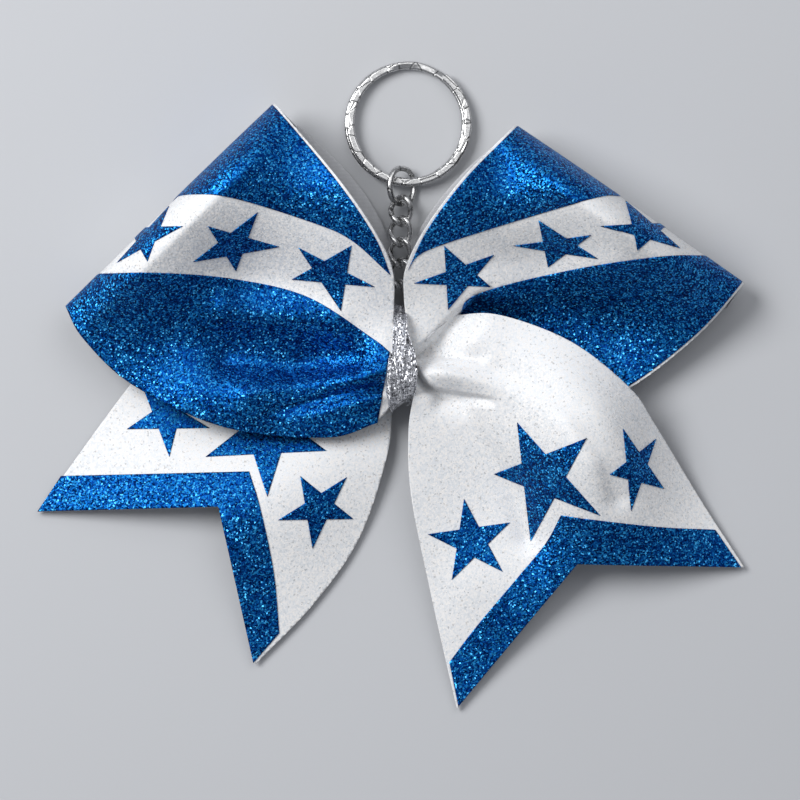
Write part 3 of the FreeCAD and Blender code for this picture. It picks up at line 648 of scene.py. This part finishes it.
# A hollow beside the loop's white band, then a rolled pleat with a sharp gap under it.
RIGHT_TAIL_PLEATS = [
    ([(3.4, 0.6), (6.8, 3.4), (10.2, 7.4), (11.5, 9.2)], -6.4, -4.8, 1.5, 3.6),
    ([(3.4, 0.7), (7, 0.6), (11.5, 0.4), (15, 0.0)], -1.8, -1.0, 2.7, 0.4),
    ([(3.9, -1.6), (8, -2.4), (14, -3.8), (21, -6)], 3.6, 0.4, 1.9, 2.6),
    (
        [(3.2, -1.6), (4.0, -3.4), (5.6, -5.1), (7.6, -6.1), (9.8, -6.5), (18, -7.8)],
        -6.5, -0.8, 0.3, 1.2,
    ),
    ([(8.5, -7.6), (12.5, -8.6)], -2.0, -1.2, 0.8, 2.2),
    ([(9, -9), (13, -11.5), (18.2, -19.2), (22.8, -26), (25.5, -35)], -0.6, -1.8, 2.6, 2.6),
    ([(20, -2), (27, -4.8), (34.8, -10.3), (40.5, -19.3), (42.8, -27)], -0.4, -1.6, 3.2, 2.4),
]
# The tail's gathered end, from its upper edge down beside the knot.
RIGHT_TAIL_GATHER = [
    (9.9, 8.9), (9.1, 7.6), (5.6, 4.4), (3.3, 1.4), (2.9, -0.6), (3.2, -3.2), (3.0, -5.5),
]

# Ribbons --------------------------------------------------------------------

CLOSEST_POINTS = 0.05  # points of an outline nearer than this are one point


def loop(name, run, upper, lower, upper_back, lower_back):
    """A loop's ribbon in one piece: front layer, turn, and the layer underneath."""
    front_up = run.unrolled(smooth(upper))[::-1]
    back_up = run.unrolled_back(smooth(upper_back))
    back_low = run.unrolled_back(smooth(lower_back))
    front_low = run.unrolled(smooth(lower))[::-1]
    outline = np.vstack([front_up, back_up, back_low, front_low])
    keep = np.linalg.norm(outline - np.roll(outline, 1, axis=0), axis=1) > CLOSEST_POINTS
    return cloth(name, run, outline[keep], WHITE, -RIBBON_THICK, RIBBON_THICK, WHITE_EDGE)


def film(name, run, sides):
    return cloth(f"{name}_film", run, run.unrolled(joined(sides)), BLUE, FILM_LIFT, FILM_THICK)


def past(run, point, amount=3.0):
    """A point moved outwards, past the loop's fold in plan."""
    return tuple(np.array(point) + amount * run.out)


def stripes(side, run, upper, band_top, band_low, lower):
    """The two stripes of a loop, above and below its band of stars."""
    upper, lower = [tuple(p) for p in upper], [tuple(p) for p in lower]
    top = [upper, (band_top[:-1] + [upper[-1]])[::-1], [band_top[0], past(run, band_top[0])]]
    top += [[past(run, band_top[0]), past(run, upper[0])], [past(run, upper[0]), upper[0]]]
    low = [band_low, [band_low[-1], lower[0]], lower, [lower[-1], past(run, lower[-1])]]
    low += [[past(run, lower[-1]), past(run, band_low[0])], [past(run, band_low[0]), band_low[0]]]
    return [film(f"{side}_loop_top_stripe", run, top), film(f"{side}_loop_bottom_stripe", run, low)]


def stars(where, run, outlines):
    return [
        film(f"{where}_star_{number}", run, star(tips))
        for number, tips in enumerate(outlines, start=1)
    ]


def tail(name, run, edge_a, edge_b, cut, gather):
    """A tail: its two long edges, the V cut at its end and its gathered end at the knot."""
    sides = [edge_a, [edge_a[-1], cut], [cut, edge_b[0]], edge_b, gather]
    outline = run.unrolled(joined(sides))
    return cloth(name, run, outline, WHITE, -RIBBON_THICK, RIBBON_THICK, WHITE_EDGE)


left_run = Run(LEFT_FOLD, LEFT_FRONT, LEFT_BACK, pleats(LEFT_PLEATS))
right_run = Run(RIGHT_FOLD, RIGHT_FRONT, RIGHT_BACK, pleats(RIGHT_PLEATS), LOOP_STEP)
left_tail_run = Run(LEFT_TIPS, LEFT_TAIL_FRONT)
right_tail_run = Run(
    RIGHT_TIPS, RIGHT_TAIL_FRONT, folds=pleats(RIGHT_TAIL_PLEATS), mesh_step=FINE_STEP
)

pieces = {
    "left_loop": loop(
        "left_loop_ribbon", left_run, LEFT_UPPER, LEFT_LOWER, LEFT_UPPER_BACK, LEFT_LOWER_BACK
    ),
    "right_loop": loop(
        "right_loop_ribbon", right_run, RIGHT_UPPER, RIGHT_LOWER, RIGHT_UPPER_BACK, RIGHT_LOWER
    ),
    "left_tail": tail(
        "left_tail_ribbon", left_tail_run, LEFT_TAIL_EDGE_A, LEFT_TAIL_EDGE_B, LEFT_NOTCH,
        [LEFT_TAIL_EDGE_B[-1], LEFT_TAIL_EDGE_A[0]],
    ),
    "right_tail": tail(
        "right_tail_ribbon", right_tail_run, RIGHT_TAIL_EDGE_A, RIGHT_TAIL_EDGE_B, RIGHT_NOTCH,
        RIGHT_TAIL_GATHER,
    ),
}
films = {
    "left_loop": stripes(
        "left", left_run, inset(LEFT_UPPER[:4], -RIM),
        LEFT_BAND_TOP, LEFT_BAND_LOW, inset(LEFT_LOWER[1:], RIM),
    )
    + stars("left_loop", left_run, LEFT_LOOP_STARS),
    "right_loop": stripes(
        "right", right_run, inset(RIGHT_UPPER[:4], RIM),
        RIGHT_BAND_TOP[::-1], RIGHT_BAND_LOW[::-1], inset(RIGHT_LOWER[1:], RIM),
    )
    + stars("right_loop", right_run, RIGHT_LOOP_STARS),
    "left_tail": [film("left_tail_band", left_tail_run, LEFT_TAIL_BAND)]
    + stars("left_tail", left_tail_run, LEFT_TAIL_STARS),
    "right_tail": [film("right_tail_band", right_tail_run, RIGHT_TAIL_BAND)]
    + stars("right_tail", right_tail_run, RIGHT_TAIL_STARS),
}

# Flat sizes and area shares are estimates, not measured on the modelled surface.
for name, piece in pieces.items():
    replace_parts(piece, name)
    for shape in films[name]:
        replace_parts(shape, shape.name.removesuffix("_film"))

# Knot -----------------------------------------------------------------------

# The tie ribbon's path round the knot, (y, z): over the end ring's wire, down the front,
# round the lower end and back up behind.
TIE_PATH = [
    (10.7, 8.0), (10.1, 9.1), (8.6, 11.2), (6.2, 13.2), (2.5, 14.1), (-3, 14.1), (-6.4, 13.2),
    (-7.9, 10.6), (-8.3, 7), (-8.1, 3), (-6.6, 0.8), (-3, 0.4), (3.5, 0.4), (7.2, 1.0),
    (8.6, 3.4), (9.1, 6.1), (9.9, 7.0),
]
# Its left and right edges on the front, x at each y.
TIE_LEFT = [
    (10.7, -1.0), (8.8, -1.1), (2.3, -1.4), (0.8, -2.2), (-4.5, -2.7), (-7.5, -1.9), (-9, -1.4),
]
TIE_RIGHT = [
    (10.7, 1.1), (8.7, 1.2), (4.9, 1.7), (1.1, 3.0), (-3.7, 3.5), (-6.1, 3.3), (-9, 2.9),
]
TIE_CREASES = [
    ([(1.5, 9.5), (1.3, 6.2), (0.8, -0.5), (0.5, -3)], -1.1, -0.5, 0.3, 0.3),
    ([(-1.2, 2), (-0.8, -0.7), (0.1, -6.7)], -0.3, -1.2, 0.3, 0.4),
    ([(0.1, 9.6), (0.1, 7.0)], -1.2, -0.1, 0.45, 0.45),
    ([(-1.8, 0), (-2.0, -6)], -0.4, -0.6, 0.2, 0.2),
    ([(2.3, 1), (2.3, -6)], -0.4, -0.6, 0.25, 0.25),
]
TIE_SLANT = 0.65  # how steeply its lower edge rises to the right
TIE_MIDDLE = 0.8  # x that the slant turns about
SLANT_TOP, SLANT_REACH = 3.0, 9.0  # y where the slant starts, and how far down it grows
SLANT_BOTTOM, SLANT_RISE = 2.0, 6.0  # z where the slant starts, and how far up it grows
TIE_THICK = 0.25
TIE_BACK_HALF = 1.9  # half its width behind the knot
TIE_CURL = 0.5  # how far its long edges turn in
TIE_STEP = 0.16  # spacing of the points along it
BACK_TOP = 3.0  # z below which the tie ribbon is behind the knot
FRONT_FADE = 3.0  # height over which the back's width becomes the front's


def at_heights(line, heights):
    """x on a line of (y, x) points, for each y."""
    order = np.array(sorted(line))
    return np.interp(heights, order[:, 0], order[:, 1])


def share(values, start, span):
    """0 up to start, then rising to 1 over span."""
    return np.clip((values - start) / span, 0, 1)


def wrinkled(points, seed):
    """Small crumples, longer along the ribbon than across it."""
    return np.array(
        [
            0.30 * noise.noise(Vector((x * 1.6 + seed, s * 0.4, seed)))
            + 0.22 * noise.noise(Vector((x * 3.6, s * 1.2 + seed, 2 * seed)))
            for x, s in points
        ]
    )


def grid_faces(rows, count, turn=False):
    """Quads between rows of count points, each row closed into a ring."""
    faces = []
    for row in range(rows):
        for here in range(count):
            after = (here + 1) % count
            corners = [(row, here), (row + 1, here), (row + 1, after), (row, after)]
            if turn:
                corners = [corners[0], corners[3], corners[2], corners[1]]
            faces.append(tuple(a * count + b for a, b in corners))
    return faces


def round_trip(corners):
    """A closed smooth curve through the corners, from the second one round to it again."""
    closed = np.array(corners + corners[:3], float)
    path = smooth(closed, TIE_STEP)
    first = np.argmin(np.linalg.norm(path - closed[1], axis=1))
    half = len(path) // 2
    last = np.argmin(np.linalg.norm(path[half:] - closed[-2], axis=1)) + half
    return path[first:last]


def tie_ribbon(columns=49):
    """The silver ribbon: one closed band round the knot and through the end ring."""
    path = round_trip(TIE_PATH)
    y, z = path[:, 0], path[:, 1]
    ahead = np.roll(path, -1, axis=0) - np.roll(path, 1, axis=0)
    ahead /= np.linalg.norm(ahead, axis=1)[:, None]
    outward = np.column_stack([-ahead[:, 1], ahead[:, 0]])
    travelled = np.append(0, np.cumsum(np.linalg.norm(np.diff(path, axis=0), axis=1)))
    front = share(z, BACK_TOP, FRONT_FADE)
    left = at_heights(TIE_LEFT, y) * front - TIE_BACK_HALF * (1 - front)
    right = at_heights(TIE_RIGHT, y) * front + TIE_BACK_HALF * (1 - front)
    low = share(-y, -SLANT_TOP, SLANT_REACH) * share(z, SLANT_BOTTOM, SLANT_RISE)
    crease = pleats(TIE_CREASES)
    verts = []
    for across in np.linspace(0, 1, columns):
        x = left + (right - left) * across
        slanted = y + low * TIE_SLANT * (x - TIE_MIDDLE)
        lift = -TIE_CURL * np.abs(2 * across - 1) ** 6 + crease(np.column_stack([x, y])) * front
        lift += wrinkled(np.column_stack([x, travelled]), 3.0)
        verts.append(np.column_stack([x, slanted + outward[:, 0] * lift, z + outward[:, 1] * lift]))
    faces = grid_faces(columns - 1, len(path))
    made = closed_mesh("tie_ribbon_cloth", np.vstack(verts), faces, SILVER)
    solid = made.modifiers.new("thickness", "SOLIDIFY")
    solid.thickness = TIE_THICK * MM
    solid.offset = 0.0
    return made


def closed_mesh(name, points, faces, material):
    mesh = bpy.data.meshes.new(name)
    mesh.from_pydata((points * MM).tolist(), [], faces)
    mesh.materials.append(material)
    mesh.shade_smooth()
    made = bpy.data.objects.new(name, mesh)
    bpy.context.scene.collection.objects.link(made)
    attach(made, "bow")
    return made


def tube(name, points, radius, material, taper=1.0, sides=8):
    """A thread: a round tube through a few points, thinner towards its end."""
    line = smooth(points, 0.25)
    around = np.linspace(0, 2 * math.pi, sides, endpoint=False)
    step = np.gradient(line, axis=0)
    step /= np.linalg.norm(step, axis=1)[:, None]
    side = np.cross(step, (0, 0, 1))
    side /= np.linalg.norm(side, axis=1)[:, None]
    up = np.cross(side, step)
    width = np.linspace(radius, radius * taper, len(line))[:, None]
    rings = [line + width * (math.cos(a) * side + math.sin(a) * up) for a in around]
    points = np.stack(rings, axis=1).reshape(-1, 3)
    faces = grid_faces(len(line) - 1, sides, turn=True)
    faces += [tuple(range(sides))[::-1], tuple(range(len(points) - sides, len(points)))]
    return closed_mesh(name, points, faces, material)


def squared(value):
    """A sine or cosine drawn out, so that a circle becomes a rounded square."""
    return math.copysign(abs(value) ** 0.6, value)


def wound_core(turns=26, around=48, rows_a_turn=6):
    """The sewn core under the tie ribbon: thread wound round the crushed gathers."""
    low, high = (np.array(corner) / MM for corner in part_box("gather_core"))
    middle, half = (low + high) / 2, (high - low) / 2
    rows = turns * rows_a_turn
    verts = []
    for i in range(rows + 1):
        part = i / rows
        y = low[1] + (high[1] - low[1]) * part
        waist = 0.8 + 0.2 * (2 * part - 1) ** 2
        for k in range(around):
            angle = 2 * math.pi * k / around
            ridge = 0.9 + 0.1 * abs(math.sin(math.pi * (turns * part + k / around)))
            x = middle[0] + half[0] * squared(math.cos(angle)) * ridge
            z = middle[2] + half[2] * squared(math.sin(angle)) * ridge * waist
            verts.append((x, y, z))
    faces = grid_faces(rows, around)
    faces += [tuple(range(around)), tuple(range(rows * around, (rows + 1) * around))[::-1]]
    return closed_mesh("wound_core", np.array(verts), faces, THREAD)


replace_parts(wound_core(), "gather_core")
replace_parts(tie_ribbon(), "tie_ribbon")

# Loose threads at the tie ribbon's lower edge, (x, y, z).
FRAY_RADIUS = 0.14
FRAYS = [
    [(2.6, -6.6, 9.5), (2.4, -8.0, 8.8), (1.7, -8.9, 8.6), (1.1, -8.8, 8.4)],
    [(2.5, -6.8, 9.0), (2.7, -8.2, 8.2), (2.1, -9.2, 7.8)],
    [(2.2, -7.0, 9.2), (1.9, -8.3, 8.8), (1.3, -8.4, 8.9), (1.5, -7.8, 9.3)],
]
for number, route in enumerate(FRAYS, start=1):
    tube(f"tie_fray_{number}", route, FRAY_RADIUS, SILVER, taper=0.5)

# Floor and light --------------------------------------------------------------


def plain(name, colour, roughness):
    material = bpy.data.materials.new(name)
    material.use_nodes = True
    surface = material.node_tree.nodes["Principled BSDF"]
    surface.inputs["Base Color"].default_value = (*colour, 1)
    surface.inputs["Roughness"].default_value = roughness
    return material


FLOOR_SIZE = 4.0
FLOOR_GAP = 0.0002  # metres under the lowest point of the CAD model
bpy.ops.mesh.primitive_plane_add(size=FLOOR_SIZE, location=(0, 0, cad_box[0][2] - FLOOR_GAP))
floor = bpy.context.object
floor.name = "floor"
floor.data.materials.append(plain("pale_floor", (0.50, 0.51, 0.53), 0.85))


def soft_light(name, place, size, power):
    """A round soft light that faces the bow, in metres and watts."""
    data = bpy.data.lights.new(name, "AREA")
    data.shape = "DISK"
    data.size = size
    data.energy = power
    light = bpy.data.objects.new(name, data)
    light.location = place
    light.rotation_euler = Vector(place).to_track_quat("Z", "Y").to_euler()
    bpy.context.scene.collection.objects.link(light)


soft_light("key", (-0.42, 0.26, 0.62), size=0.45, power=5.6)
soft_light("sky", (0.25, 0.45, 0.75), size=0.80, power=2.0)
world = bpy.data.worlds.new("studio")
world.use_nodes = True
background = world.node_tree.nodes["Background"]
background.inputs["Color"].default_value = (0.90, 0.93, 1.0, 1)
background.inputs["Strength"].default_value = 0.29
bpy.context.scene.world = world
bpy.context.scene.view_settings.view_transform = "Standard"

# Metal ----------------------------------------------------------------------

LINKS = ["end_ring", "jump_ring"] + [f"chain_link_{i}" for i in range(1, 5)]
for node, plate in [("split_ring", RING_PLATE)] + [(link, LINK_PLATE) for link in LINKS]:
    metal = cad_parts[node]
    metal.data.materials.clear()
    metal.data.materials.append(plate)
